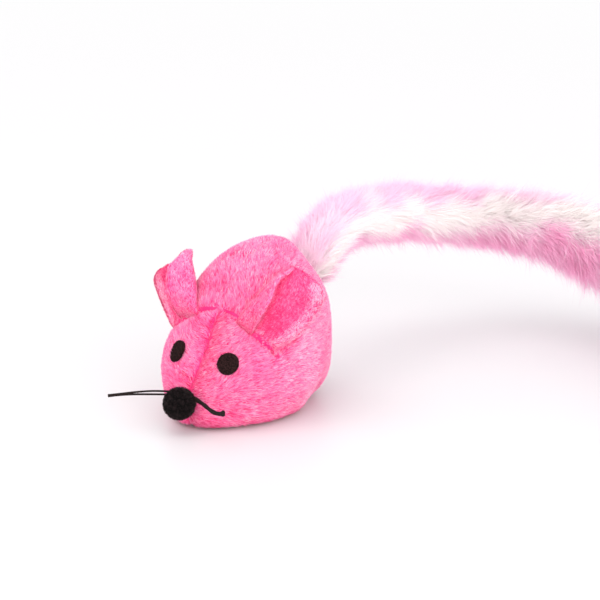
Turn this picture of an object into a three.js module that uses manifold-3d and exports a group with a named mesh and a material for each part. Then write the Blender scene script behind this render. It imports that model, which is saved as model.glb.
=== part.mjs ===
// A stuffed plush mouse for a cat: two side panels and a flat base panel sewn round a soft filling,
// folded plush ears, felt eyes, a pompom nose, thread whiskers and a long bendable fur tail.
// Millimetres, +Z up. The nose points along -Y and the mouse's left side is +X.
// The origin is the middle of the flat base that it stands on.

import * as THREE from 'three';
import { mergeVertices } from 'three/addons/utils/BufferGeometryUtils.js';
import Module from 'manifold-3d';

// Body
const body_length = 73;
const body_width = 53;
const body_height = 61.5;
const belly_depth = 5;         // how far the round belly would reach below the flat base
const plush_thickness = 1.5;
const base_thickness = 1.2;
const seam_gap = 0.3;          // between pieces that touch
const body_rows = 16;
const body_sides = 24;

// Sewing thread
const thread_radius = 0.3;
const thread_sink = 0.2;       // how far its middle lies below the plush
const thread_sides = 6;
const thread_step = 4;         // length of one straight of a seam

// Ears
const ear_length = 25;
const ear_width = 21;
const ear_layer = 0.9;         // one layer of plush
const ear_layer_gap = 0.45;    // between the two layers
const ear_swing_back = 8;      // degrees, until the ear lies on the back
const ear_swing_forward = 35;  // degrees
const ear_swing_steps = 4;
const ear_fold_bend = 7.5;     // length of each wing that the rounded fold takes up
const ear_rows = 6;
const ear_columns = 10;

// Eyes and nose
const eye_diameter = 8;
const eye_thickness = 1.4;
const eye_spacing = 23.2;
const eye_sides = 20;
const nose_diameter = 12.7;
const nose_height = 11;
const nose_reach = 4;          // how far its middle lies in front of the muzzle
const nose_sides = 16;

// Whiskers
const whisker_diameter = 0.7;
const whisker_length = 24;
const whisker_height = 13.4;
const whisker_out = 6.4;       // from the middle plane to where a whisker starts
const whisker_reach = 1.5;     // how far it starts in front of the muzzle
const whisker_droop = 1;       // how far the free end hangs
const whisker_spread = 1.3;    // between the two threads of a pair
const whisker_angle = 27;      // degrees forward from square to the body
const whisker_steps = 8;
const whisker_sides = 8;

// Tail
const tail_radius = 10;
const tail_seat = 2.5;         // how far its root starts in front of the rump
const tail_stub = 16;          // from the root to the first bending place
const tail_pitch = 34;         // between bending places
const tail_sections = 7;
const tail_flat = 0.5;         // flat underneath where the tail lies
const tail_bend = 25;          // degrees, the most at one bending place
const tail_clearance = 0.6;
const tail_overlap = 2;        // how far a section reaches back over its bending place
const tail_bend_spare = 3;     // degrees of room beyond the most that it bends
const tail_sides = 12;
const tail_step = 9;           // length of one straight of the tail
const dome_rows = 3;

const muzzle = body_length / 2;  // in front of the middle of the body
const overrun = 20;            // how far a cutting shape reaches past the piece it cuts

// The body's side view and plan, as shares of its sizes at even steps of angle from muzzle to rump
const back_shares = [0.15, 0.26, 0.405, 0.65, 0.85, 0.968, 1, 0.9, 0.68, 0.45];
const waist_shares = [0.15, 0.17, 0.25, 0.33, 0.38, 0.4, 0.41, 0.42, 0.43, 0.45];
const belly_share = 0.5;
const back_roundness_share = 2;
const belly_roundness_share = 3;

// Ear outlines from foot to tip: along the fold, across the opening and backwards, as shares of
// ear length, ear width and ear width
const medial_rim_shares = [[0.07, 0.4, -0.32], [0.34, 0.44, -0.36], [0.58, 0.41, -0.35], [0.86, 0.22, -0.2],
  [1.2, 0.22, -0.05]];
const lateral_rim_shares = [[0.12, 0.88, 0], [0.5, 1.02, -0.13], [0.9, 0.98, -0.2], [1.22, 0.8, -0.12],
  [1.34, 0.54, -0.06]];
const fold_line_shares = [[0, -0.04, 0], [0.27, -0.07, -0.09], [0.54, -0.07, -0.07], [0.84, 0, -0.02],
  [1.3, 0.26, 0]];
const fold_limit_share = 0.65;
const wing_share = 0.2;           // of the columns, on each flat wing
const ear_end_share = 0.96;       // of the outlines that the ear uses
const ear_fold_direction_shares = [0.477, 0.56, 0.676];

const eye_station_share = 0.7315; // of the way from the middle of the body to the muzzle

// Places on the body: from muzzle to rump, and from the middle of the back down a side to the belly
const ear_fold_foot_share = [0.328, 0.127];
const ear_outer_foot_share = [0.372, 0.405];
const dart_seam_shares = [[0.338, 0.03], [0.333, 0.1], [0.328, 0.2], [0.335, 0.3], [0.366, 0.41]];

// Tail route: across and behind its root as shares of its length, and its lift as a share of the arch
const tail_route_shares = [[0, 0, 0.716], [-0.008, 0.059, 0.947], [-0.02, 0.122, 1.007], [-0.022, 0.189, 0.978],
  [-0.008, 0.276, 0.904], [0.038, 0.341, 0.841], [0.103, 0.375, 0.802], [0.159, 0.396, 0.752],
  [0.221, 0.409, 0.652], [0.287, 0.413, 0.531], [0.354, 0.406, 0.391], [0.417, 0.386, 0.247],
  [0.476, 0.358, 0.123], [0.528, 0.319, 0.043], [0.571, 0.272, 0], [0.606, 0.22, 0]];
const tail_arch_share = 0.7154; // of the body's height, for the arch that lifts the tail off the floor
const tail_arch = body_height * tail_arch_share;
const tail_swell_shares = [0.9, 0.96, 1, 0.98, 1.06, 1.18, 1.22, 1.18, 1.1, 0.94];

const wasm = await Module();
wasm.setup();

const vector = (x, y, z) => new THREE.Vector3(x, y, z);
const radians = THREE.MathUtils.degToRad;
const up = vector(0, 0, 1);

// A smooth value through evenly spaced shares
function smooth(shares, t) {
  const curve = new THREE.SplineCurve(shares.map((share, i) => new THREE.Vector2(i, share)));
  return curve.getPoint(THREE.MathUtils.clamp(t, 0, 1)).y;
}

function solid(geometry) {
  const bare = geometry.clone();
  bare.deleteAttribute('normal');
  bare.deleteAttribute('uv');
  const merged = mergeVertices(bare);
  const mesh = new wasm.Mesh({
    numProp: 3,
    vertProperties: merged.attributes.position.array,
    triVerts: new Uint32Array(merged.index.array),
  });
  return new wasm.Manifold(mesh);
}

function surface(manifold) {
  const mesh = manifold.getMesh();
  const geometry = new THREE.BufferGeometry();
  geometry.setAttribute('position', new THREE.BufferAttribute(mesh.vertProperties, 3));
  geometry.setIndex(new THREE.BufferAttribute(mesh.triVerts, 1));
  geometry.computeVertexNormals();
  return geometry;
}

// The faces between rings of points that all have the same count
function wrap(rings) {
  const sides = rings[0].length;
  const faces = [];
  for (let ring = 0; ring < rings.length - 1; ring += 1) {
    for (let side = 0; side < sides; side += 1) {
      const near = ring * sides;
      const next = near + (side + 1) % sides;
      faces.push(near + side, next, next + sides);
      faces.push(near + side, next + sides, near + side + sides);
    }
  }
  return faces;
}

function faceted(points, faces) {
  const geometry = new THREE.BufferGeometry();
  geometry.setAttribute('position', new THREE.Float32BufferAttribute(points.flatMap((p) => p.toArray()), 3));
  geometry.setIndex(faces);
  return geometry;
}

// A closed skin over rings of points, closed on a point at each end
function skin(rings, first, last) {
  const points = [...rings.flat(), first, last];
  const faces = wrap(rings);
  const sides = rings[0].length;
  const end = (rings.length - 1) * sides;
  for (let side = 0; side < sides; side += 1) {
    const next = (side + 1) % sides;
    faces.push(points.length - 2, next, side);
    faces.push(end + side, end + next, points.length - 1);
  }
  return faceted(points, faces);
}

// A closed slab over flat rings, each of which runs out along one face and back along the other
function slab(rings) {
  const faces = wrap(rings);
  const sides = rings[0].length;
  const end = (rings.length - 1) * sides;
  for (let side = 0; side < sides / 2 - 1; side += 1) {
    const [low, next_low, next_high, high] = [side, side + 1, sides - side - 2, sides - side - 1];
    faces.push(low, next_high, next_low, low, high, next_high);
    faces.push(end + low, end + next_low, end + next_high, end + low, end + next_high, end + high);
  }
  return faceted(rings.flat(), faces);
}

// One half of space as a box: everything on the far side of a level, along one axis
function beyond(axis, level) {
  const size = body_length + body_width + body_height + tail_length;
  const box = new THREE.BoxGeometry(2 * size, 2 * size, 2 * size);
  const place = vector(0, 0, 0).setComponent(axis, level + size);
  return solid(box.translate(place.x, place.y, place.z));
}

const tail_length = tail_stub + tail_pitch * tail_sections;

// The body's outline at a share of the way from muzzle to rump
function station(along) {
  const angle = Math.PI * THREE.MathUtils.clamp(along, 0, 1);
  const waist = body_height * smooth(waist_shares, along);
  const top = body_height * smooth(back_shares, along);
  const belly = waist - (waist + belly_depth) * Math.sin(angle) ** belly_share;
  return { y: -body_length / 2 * Math.cos(angle), half: body_width / 2 * Math.sin(angle), waist, top, belly };
}

// A point of the stuffed body: along runs 0 to 1 from muzzle to rump, and around runs 0 to 1 from
// the middle of the back down the left side to the belly, and on to 2 up the right side
function bodyPoint(along, around) {
  const { y, half, waist, top, belly } = station(along);
  const angle = Math.PI * around;
  const upper = Math.cos(angle) >= 0;
  const power = 2 / (upper ? back_roundness_share : belly_roundness_share);
  const rise = Math.abs(Math.cos(angle)) ** power * (upper ? top - waist : belly - waist);
  return vector(half * Math.sign(Math.sin(angle)) * Math.abs(Math.sin(angle)) ** power, y, waist + rise);
}

// The outward direction there
function bodyNormal(along, around) {
  const share = 0.004;
  const forward = bodyPoint(along + share, around).sub(bodyPoint(along - share, around));
  const sideways = bodyPoint(along, around + share).sub(bodyPoint(along, around - share));
  return sideways.cross(forward).normalize();
}

function onBody([along, around], out = 0) {
  return bodyPoint(along, around).addScaledVector(bodyNormal(along, around), out);
}

function bodySkin(out) {
  const rings = [];
  for (let row = 1; row < body_rows; row += 1) {
    const ring = [];
    for (let side = 0; side < body_sides; side += 1) {
      ring.push(onBody([row / body_rows, 2 * side / body_sides], out));
    }
    rings.push(ring);
  }
  const front = bodyPoint(0, 0).add(vector(0, -out, 0));
  const rear = bodyPoint(1, 0).add(vector(0, out, 0));
  return solid(skin(rings, front, rear));
}

// Seams: a thread half sunk between the panels, in a groove of its own
function threadTube(points, radius) {
  const path = new THREE.CatmullRomCurve3(points);
  const shape = new THREE.Shape();
  for (let side = 0; side < thread_sides; side += 1) {
    const angle = 2 * Math.PI * side / thread_sides;
    const corner = [radius * Math.cos(angle), radius * Math.sin(angle)];
    if (side === 0) shape.moveTo(...corner);
    else shape.lineTo(...corner);
  }
  shape.closePath();
  const steps = Math.ceil(path.getLength() / thread_step);
  return solid(new THREE.ExtrudeGeometry(shape, { steps, extrudePath: path, bevelEnabled: false }));
}

const seam_level = base_thickness + seam_gap / 2;

// Where the base seam crosses the middle plane, found by halving between a low and a high station
function crossing(low, high) {
  let [under, over] = [low, high];
  for (let turn = 0; turn < 40; turn += 1) {
    const middle = (under + over) / 2;
    if (station(middle).belly < seam_level) under = middle;
    else over = middle;
  }
  return under;
}

function baseSeamPoint(turn) {
  const front = crossing(0.5, 0);
  const rear = crossing(0.5, 1);
  const along = (front + rear) / 2 + (rear - front) / 2 * Math.cos(2 * Math.PI * turn);
  const { y, half, waist, belly } = station(along);
  const level = THREE.MathUtils.clamp((waist - seam_level) / (waist - belly), 0, 1);
  const x = half * (1 - level ** belly_roundness_share) ** (1 / belly_roundness_share);
  return vector(Math.sign(Math.sin(2 * Math.PI * turn)) * x, y, seam_level);
}

function stretch(count, place) {
  return Array.from({ length: count + 1 }, (_, i) => place(i / count));
}

const front_share = 0.02;
const seams = {
  centre_seam_thread: stretch(24, (t) => onBody([front_share + (1 - 2 * front_share) * t, 0], -thread_sink)),
  ear_seam_thread_left: stretch(12, (t) => {
    const along = smooth(dart_seam_shares.map((share) => share[0]), t);
    const around = smooth(dart_seam_shares.map((share) => share[1]), t);
    return onBody([along, around], -thread_sink);
  }),
  base_seam_thread: stretch(36, (t) => baseSeamPoint(front_share + (1 - 2 * front_share) * t)),
};
seams.ear_seam_thread_right = seams.ear_seam_thread_left.map((p) => vector(-p.x, p.y, p.z));

const whole = bodySkin(0);
const lining = bodySkin(-plush_thickness);
const filling = bodySkin(-plush_thickness - seam_gap);
const above_base = beyond(2, base_thickness + seam_gap);
const above_floor = beyond(2, 0);

let grooves = threadTube(seams.centre_seam_thread, thread_radius + seam_gap);
for (const name of ['ear_seam_thread_left', 'ear_seam_thread_right', 'base_seam_thread']) {
  grooves = grooves.add(threadTube(seams[name], thread_radius + seam_gap));
}

const clear = bodySkin(seam_gap).add(grooves);
const shell = whole.subtract(lining).intersect(above_base).subtract(grooves);
const left_half = beyond(0, seam_gap / 2);
const right_half = beyond(0, -seam_gap / 2);
const pieces = {
  side_panel_left: shell.intersect(left_half),
  side_panel_right: shell.subtract(right_half),
  base_panel: whole.intersect(above_floor).subtract(beyond(2, base_thickness)).subtract(grooves),
  body_stuffing: filling.intersect(above_base),
};
for (const name of Object.keys(seams)) {
  pieces[name] = threadTube(seams[name], thread_radius);
}

// Colours
const hot_pink = 0xff5ca8;
const deep_pink = 0xf2478f;
const pale_pink = 0xf9cdeb;
const black = 0x17151a;
const white = 0xf4f1ee;
const thread_pink = 0xd63f80;

function cloth(color, roughness = 0.95) {
  return new THREE.MeshStandardMaterial({ color, roughness, metalness: 0 });
}

// A named mesh whose geometry is measured from the pivot that carries it
function named(name, shape, material, pivot = vector(0, 0, 0)) {
  const mesh = new THREE.Mesh(surface(shape).translate(-pivot.x, -pivot.y, -pivot.z), material);
  mesh.name = name;
  return mesh;
}

const mouse = new THREE.Group();
for (const [name, shape] of Object.entries(pieces)) {
  let color = hot_pink;
  if (name === 'body_stuffing') color = white;
  if (name.includes('thread')) color = thread_pink;
  mouse.add(named(name, shape, cloth(color)));
}

// Ears: a folded leaf of two layers, plush outside and lining inside
const fold_foot = onBody(ear_fold_foot_share);
const outer_foot = onBody(ear_outer_foot_share);
const fold_axis = vector(...ear_fold_direction_shares).normalize();
const foot_line = outer_foot.clone().sub(fold_foot);
const across_axis = foot_line.clone().addScaledVector(fold_axis, -foot_line.dot(fold_axis)).normalize();
const back_axis = fold_axis.clone().cross(across_axis);

function earLine(shares) {
  const points = shares.map(([along, across, back]) => fold_foot.clone()
    .addScaledVector(fold_axis, ear_length * along)
    .addScaledVector(across_axis, ear_width * across)
    .addScaledVector(back_axis, ear_width * back));
  return new THREE.CatmullRomCurve3(points);
}

const medial_rim = earLine(medial_rim_shares);
const lateral_rim = earLine(lateral_rim_shares);
const fold_line = earLine(fold_line_shares);

// A point of the ear's middle surface: along from foot to tip, across from the medial rim over the
// rounded fold to the lateral rim
function earPoint(along, across) {
  const inner = medial_rim.getPoint(along);
  const outer = lateral_rim.getPoint(along);
  const apex = fold_line.getPoint(along);
  const bend = Math.min(ear_fold_bend, fold_limit_share * inner.distanceTo(apex));
  const first = apex.clone().lerp(inner, bend / inner.distanceTo(apex));
  const last = apex.clone().lerp(outer, bend / outer.distanceTo(apex));
  if (across < wing_share) return inner.lerp(first, across / wing_share);
  if (across > 1 - wing_share) return outer.lerp(last, (1 - across) / wing_share);
  const round = new THREE.QuadraticBezierCurve3(first, apex, last);
  return round.getPoint((across - wing_share) / (1 - 2 * wing_share));
}

function earNormal(along, across) {
  const share = 0.01;
  const up_ear = earPoint(Math.min(1, along + share), across).sub(earPoint(Math.max(0, along - share), across));
  const over = earPoint(along, Math.min(1, across + share)).sub(earPoint(along, Math.max(0, across - share)));
  return up_ear.cross(over).normalize();
}

// One layer of the ear between two distances from its middle surface, as a closed slab
function earLayer(low, high) {
  const rings = [];
  for (let row = 0; row <= ear_rows; row += 1) {
    const ring = [];
    const put = (column, out) => {
      const place = [ear_end_share * row / ear_rows, column / ear_columns];
      ring.push(earPoint(...place).addScaledVector(earNormal(...place), out));
    };
    for (let column = 0; column <= ear_columns; column += 1) put(column, low);
    for (let column = ear_columns; column >= 0; column -= 1) put(column, high);
    rings.push(ring);
  }
  return slab(rings);
}

// The layer inside the fold, where the two sides press into each other: patch by patch, joined
function foldedLayer(low, high) {
  const corner = (row, column, out) => {
    const place = [ear_end_share * row / ear_rows, column / ear_columns];
    return earPoint(...place).addScaledVector(earNormal(...place), out).toArray();
  };
  const patches = [];
  for (let row = 0; row < ear_rows; row += 1) {
    for (let column = 0; column < ear_columns; column += 1) {
      const corners = [[row, column], [row + 1, column], [row, column + 1], [row + 1, column + 1]];
      patches.push(wasm.Manifold.hull(corners.flatMap((place) => [corner(...place, low), corner(...place, high)])));
    }
  }
  return wasm.Manifold.union(patches);
}

// What the body sweeps, as seen from a piece that turns about an axis through a pivot
function sweep(body, pivot, axis, from, to, steps) {
  let swept = body;
  for (const degrees of stretch(steps, (t) => from + (to - from) * t)) {
    const turn = new THREE.Matrix4().makeRotationAxis(axis, radians(-degrees));
    const move = new THREE.Matrix4().makeTranslation(pivot.x, pivot.y, pivot.z).multiply(turn)
      .multiply(new THREE.Matrix4().makeTranslation(-pivot.x, -pivot.y, -pivot.z));
    swept = swept.add(body.transform(move.elements));
  }
  return swept;
}

const ear_pivot = fold_foot.clone().lerp(outer_foot, 0.5);
const ear_axis = foot_line.clone().normalize();
const ear_room = sweep(clear, ear_pivot, ear_axis, -ear_swing_back, ear_swing_forward, ear_swing_steps);
const ear_layers = {
  back: solid(earLayer(ear_layer_gap / 2, ear_layer_gap / 2 + ear_layer)).subtract(ear_room),
  lining: foldedLayer(-ear_layer_gap / 2 - ear_layer, -ear_layer_gap / 2).subtract(ear_room),
};
for (const side of ['left', 'right']) {
  const ear = new THREE.Group();
  const pivot = side === 'left' ? ear_pivot : vector(-ear_pivot.x, ear_pivot.y, ear_pivot.z);
  ear.position.copy(pivot);
  for (const [layer, shape] of Object.entries(ear_layers)) {
    const own = side === 'left' ? shape : shape.mirror([1, 0, 0]);
    ear.add(named(`ear_${side}_${layer}`, own, cloth(layer === 'back' ? hot_pink : deep_pink), pivot));
  }
  mouse.add(ear);
}

// Eyes: felt discs that lie on the face
const eye_along = Math.acos(eye_station_share) / Math.PI;
const eye_around = Math.asin(eye_spacing / 2 / station(eye_along).half) / Math.PI;
const eye_centre = onBody([eye_along, eye_around]);
const eye_out = bodyNormal(eye_along, eye_around);
for (const side of ['left', 'right']) {
  const mirror = side === 'left' ? 1 : -1;
  const out = vector(mirror * eye_out.x, eye_out.y, eye_out.z);
  const disc = new THREE.CylinderGeometry(eye_diameter / 2, eye_diameter / 2, eye_thickness, eye_sides);
  disc.applyQuaternion(new THREE.Quaternion().setFromUnitVectors(vector(0, 1, 0), out));
  const centre = vector(mirror * eye_centre.x, eye_centre.y, eye_centre.z).addScaledVector(out, eye_thickness / 2);
  disc.translate(centre.x, centre.y, centre.z);
  mouse.add(named(`eye_${side}`, solid(disc).subtract(clear), cloth(black)));
}

// Nose: a pompom pressed against the muzzle
const ball = new THREE.SphereGeometry(nose_diameter / 2, nose_sides, nose_sides / 2);
ball.translate(0, -muzzle - nose_reach, nose_height);
mouse.add(named('nose_pompom', solid(ball).subtract(clear), cloth(black)));

// Whiskers: two waxed threads on each side
for (const side of ['left', 'right']) {
  const mirror = side === 'left' ? 1 : -1;
  const start = vector(mirror * whisker_out, -muzzle - whisker_reach, whisker_height);
  const whiskers = new THREE.Group();
  whiskers.position.copy(start);
  const reach = vector(mirror * Math.cos(radians(whisker_angle)), -Math.sin(radians(whisker_angle)), 0);
  for (const [level, lift] of [['upper', 0.5], ['lower', -0.5]]) {
    const points = stretch(4, (t) => start.clone()
      .addScaledVector(reach, whisker_length * t)
      .add(vector(0, 0, whisker_spread * lift - whisker_droop * t * t)));
    const section = new THREE.Shape().absarc(0, 0, whisker_diameter / 2, 0, 2 * Math.PI);
    const thread = new THREE.ExtrudeGeometry(section, {
      steps: whisker_steps,
      curveSegments: whisker_sides / 2,
      extrudePath: new THREE.CatmullRomCurve3(points),
      bevelEnabled: false,
    });
    whiskers.add(named(`whisker_${side}_${level}`, solid(thread), cloth(black, 0.5), start));
  }
  mouse.add(whiskers);
}

// Tail: a fur tube of bendable sections, each with a round end that the next one caps
const tail_root = vector(0, body_length / 2 - tail_seat, 0);
const tail_route = new THREE.CatmullRomCurve3(tail_route_shares.map(([across, behind, lift], i) => {
  const radius = tail_radius * smooth(tail_swell_shares, i / (tail_route_shares.length - 1));
  return tail_root.clone().add(vector(
    tail_length * across,
    tail_length * behind,
    radius - tail_flat + tail_arch * lift,
  ));
}));
tail_route.arcLengthDivisions = 400;
const route_length = tail_route.getLength();

const tailPlace = (distance) => tail_route.getPointAt(Math.min(1, distance / route_length));
const tailHeading = (distance) => tail_route.getTangentAt(Math.min(1, distance / route_length));
const tailRadius = (distance) => tail_radius * smooth(tail_swell_shares, distance / tail_length);

// A ring of points round the tail, a little way ahead of a place on its route
function tailRing(distance, radius, ahead) {
  const heading = tailHeading(distance);
  const across = heading.clone().cross(up).normalize();
  const over = across.clone().cross(heading);
  const centre = tailPlace(distance).addScaledVector(heading, ahead);
  return Array.from({ length: tail_sides }, (_, side) => {
    const angle = 2 * Math.PI * side / tail_sides;
    return centre.clone()
      .addScaledVector(across, radius * Math.cos(angle))
      .addScaledVector(over, -radius * Math.sin(angle));
  });
}

function tailTube(from, to) {
  const steps = Math.ceil((to - from) / tail_step);
  const rings = stretch(steps, (t) => {
    const distance = from + (to - from) * t;
    return tailRing(distance, tailRadius(distance), 0);
  });
  const radius = tailRadius(to);
  for (let row = 1; row <= dome_rows; row += 1) {
    const angle = Math.PI / 2 * row / (dome_rows + 1);
    rings.push(tailRing(to, radius * Math.cos(angle), radius * Math.sin(angle)));
  }
  const tip = tailPlace(to).addScaledVector(tailHeading(to), radius);
  return solid(skin(rings, tailPlace(from), tip));
}

// The room that a section leaves round the end of the one before it, so that both can bend
function bendRoom(distance) {
  const radius = tailRadius(distance) + tail_clearance;
  const rim = Math.PI / 2 - radians(tail_bend + tail_bend_spare);
  const profile = stretch(dome_rows + 1, (t) => {
    return new THREE.Vector2(radius * Math.sin(rim * t), radius * Math.cos(rim * t));
  });
  profile.push(new THREE.Vector2(overrun * Math.sin(rim), overrun * Math.cos(rim)));
  profile.push(new THREE.Vector2(overrun * Math.sin(rim), -overrun), new THREE.Vector2(0, -overrun));
  const room = new THREE.LatheGeometry(profile.reverse(), tail_sides);
  room.applyQuaternion(new THREE.Quaternion().setFromUnitVectors(vector(0, 1, 0), tailHeading(distance)));
  const place = tailPlace(distance);
  return solid(room.translate(place.x, place.y, place.z));
}

let carrier = mouse;
let carrier_place = vector(0, 0, 0);
const stub = tailTube(0, tail_stub).subtract(clear);
mouse.add(named('tail_root', stub, cloth(pale_pink)));
for (let section = 1; section <= tail_sections; section += 1) {
  const from = tail_stub + tail_pitch * (section - 1);
  const tube = tailTube(from - tail_overlap, from + tail_pitch).subtract(bendRoom(from)).intersect(above_floor);
  const pivot = tailPlace(from);
  const bend = new THREE.Group();
  bend.position.copy(pivot).sub(carrier_place);
  bend.add(named(`tail_section_${section}`, tube, cloth(pale_pink), pivot));
  carrier.add(bend);
  carrier = bend;
  carrier_place = pivot;
}

export default mouse;
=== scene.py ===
# %% [markdown]
# # A plush mouse for a cat
#
# The toy is a small stuffed mouse of hot pink short-pile plush, with folded ears, felt eyes, a
# pompom nose, thread whiskers and a long striped fur tail. Its solid model fixes every size and
# joint. This script dresses that model: cloth with seams, pile that can be seen as single hairs,
# felt, thread and fur. All sizes are in metres, so lengths are written as a number times mm.

# %% Load the solid model
import math

import bmesh
import bpy
import numpy as np
from mathutils import Matrix, Vector
from mathutils.kdtree import KDTree


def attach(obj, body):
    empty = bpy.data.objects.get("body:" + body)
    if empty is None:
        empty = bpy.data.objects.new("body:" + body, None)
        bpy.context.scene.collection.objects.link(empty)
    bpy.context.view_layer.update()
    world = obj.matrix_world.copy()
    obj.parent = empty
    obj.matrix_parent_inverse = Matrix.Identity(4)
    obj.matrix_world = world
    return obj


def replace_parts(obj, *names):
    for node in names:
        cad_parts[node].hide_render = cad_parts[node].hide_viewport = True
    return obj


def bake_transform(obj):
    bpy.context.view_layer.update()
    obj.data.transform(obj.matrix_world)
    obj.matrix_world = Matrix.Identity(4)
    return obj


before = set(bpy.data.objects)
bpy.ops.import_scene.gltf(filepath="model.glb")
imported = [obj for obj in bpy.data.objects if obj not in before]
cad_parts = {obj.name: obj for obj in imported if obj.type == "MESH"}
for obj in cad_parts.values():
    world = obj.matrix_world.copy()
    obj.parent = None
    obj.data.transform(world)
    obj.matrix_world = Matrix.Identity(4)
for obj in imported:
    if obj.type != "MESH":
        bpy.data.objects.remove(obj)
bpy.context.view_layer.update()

mm = 0.001
up = np.array([0.0, 0.0, 1.0])

# %% [markdown]
# ## Colour and material helpers
#
# Colours are written as the hex values that a paint chart or a photo editor shows. Blender's
# shaders work in linear light, so one function turns them. Another adds a node to a material,
# sets its sockets and links it, which keeps each material below to a few readable lines.

# %% Helpers for materials
def linear(code):
    """A hex colour such as FF5CA8 as linear red, green, blue and alpha."""
    shares = [int(code[i:i + 2], 16) / 255 for i in (0, 2, 4)]
    return [s / 12.92 if s <= 0.04045 else ((s + 0.055) / 1.055) ** 2.4 for s in shares] + [1.0]


def new_material(name):
    material = bpy.data.materials.new(name)
    material.use_nodes = True
    return material, material.node_tree.nodes["Principled BSDF"]


def add(material, kind, settings=None, **inputs):
    """A new node. Settings are its own options; inputs are numbers, colours or other sockets."""
    node = material.node_tree.nodes.new("ShaderNode" + kind)
    for key, value in (settings or {}).items():
        setattr(node, key, value)
    for key, value in inputs.items():
        name = key.replace("_", " ")
        socket = node.inputs[int(name[1:])] if name[1:].isdigit() else node.inputs[name]
        plug(material, socket, value)
    return node


def plug(material, socket, value):
    if isinstance(value, bpy.types.NodeSocket):
        material.node_tree.links.new(value, socket)
    else:
        socket.default_value = value


def ramp(material, factor, stops):
    """A colour ramp through (place, hex colour) stops."""
    node = add(material, "ValToRGB", Fac=factor)
    bar = node.color_ramp
    while len(bar.elements) < len(stops):
        bar.elements.new(0.5)
    for element, (place, code) in zip(bar.elements, stops):
        element.position = place
        element.color = linear(code)
    return node.outputs["Color"]


def cloth_surface(shader, roughness, sheen, sheen_tint, specular=0.2):
    """Pile scatters light back at grazing angles, which the sheen lobe does."""
    shader.inputs["Roughness"].default_value = roughness
    shader.inputs["Sheen Weight"].default_value = sheen
    shader.inputs["Sheen Roughness"].default_value = 0.5
    shader.inputs["Sheen Tint"].default_value = linear(sheen_tint)
    shader.inputs["Specular IOR Level"].default_value = specular


# %% [markdown]
# ## Pink short-pile plush
#
# Toy plush is a polyester knit with a brushed pile about 2 mm long. What the eye sees is the
# pile, so it gets two materials: the knit backing, which shows between the hairs as the deeper
# pink, and the hairs, paler at their tips, which paints shade among the roots and sheen at the tips.
# The mottling of 9 mm or so is painted light and shade, as pile that leans in patches shows it.
# The base carries no hairs here, so its knit shows, painted a deeper pink as shade along the floor.

# %% Plush materials
def mottled(material, scale, detail=3.0):
    place = add(material, "TexCoord").outputs["Object"]
    return add(material, "TexNoise", Vector=place, Scale=scale, Detail=detail).outputs["Fac"]


def plush_pile(name, stops, sheen_tint):
    """Hairs: colour by tone, own shade, tip and soft patches; tone, tip and patches carry painted light and
    shade.
    """
    material, shader = new_material(name)
    tone = add(material, "Attribute", {"attribute_name": "tone"}).outputs["Fac"]
    shade = add(material, "Attribute", {"attribute_name": "shade"}).outputs["Fac"]
    tip = add(material, "Attribute", {"attribute_name": "tip"}).outputs["Fac"]
    # Soft random patches of 9 mm: painted light and shade of pile that leans in patches.
    patches = mottled(material, 1 / (9 * mm))
    mixed = add(material, "Math", {"operation": "MULTIPLY_ADD"}, i0=patches, i1=0.15, i2=tone)
    lean = add(material, "Math", {"operation": "MULTIPLY_ADD"}, i0=shade, i1=0.7, i2=mixed.outputs[0])
    # Paler towards the tips: painted shade among the roots and painted sheen at the tips.
    pale = add(material, "Math", {"operation": "MULTIPLY_ADD"}, i0=tip, i1=0.4, i2=lean.outputs[0])
    level = add(material, "Math", {"operation": "ADD"}, i0=pale.outputs[0], i1=-0.6)
    plug(material, shader.inputs["Base Color"], ramp(material, level.outputs[0], stops))
    cloth_surface(shader, 0.8, 0.4, sheen_tint, 0.1)
    return material


def knit_backing(name, dark, light):
    """The knit under the pile: loops about 0.6 mm apart, as bump and a little colour."""
    material, shader = new_material(name)
    place = add(material, "TexCoord").outputs["Object"]
    loops = add(material, "TexVoronoi", Vector=place, Scale=1 / (0.6 * mm)).outputs["Distance"]
    patches = mottled(material, 1 / (7 * mm))
    plug(material, shader.inputs["Base Color"], ramp(material, patches, [(0.3, dark), (0.7, light)]))
    bump = add(material, "Bump", Height=loops, Strength=0.5, Distance=0.3 * mm)
    plug(material, shader.inputs["Normal"], bump.outputs["Normal"])
    cloth_surface(shader, 0.95, 0.1, "FFB6D0", 0.05)
    return material


pink_shades = [(0.0, "CC1A50"), (0.14, "E8397A"), (0.38, "F6659F"), (0.66, "FB8FBA"), (1.0, "FFC4DC")]
pink_pile = plush_pile("pink_plush_pile", pink_shades, "FFC8DC")
pink_knit = knit_backing("pink_plush_knit_backing", "E4286C", "EE4080")
# The base's knit is painted a deeper pink: painted shade where the toy meets the floor.
base_knit = knit_backing("base_knit_painted_contact_shade", "C8104A", "DC2460")
print("plush materials:", pink_pile.name, pink_knit.name)

# %% [markdown]
# ## The body's shape
#
# The solid model's body is a ball that is drawn out to a muzzle, sits flat, and rises to a round
# rump. The same outlines are used here, as shares of the body's sizes at even steps from muzzle
# to rump, so the cloth lies where the solid says. A UV sphere gives even rows to shape: its
# vertices say how far along and how far round they are, and move to that place.

# %% The body's outlines
body_length, body_width, body_height = 73 * mm, 53 * mm, 61.5 * mm
belly_depth = 5 * mm
back_shares = [0.15, 0.26, 0.405, 0.65, 0.85, 0.968, 1, 0.9, 0.68, 0.45]
waist_shares = [0.15, 0.17, 0.25, 0.33, 0.38, 0.4, 0.41, 0.42, 0.43, 0.45]
base_level = 1.35 * mm
pile_depth = 0.8 * mm


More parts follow.
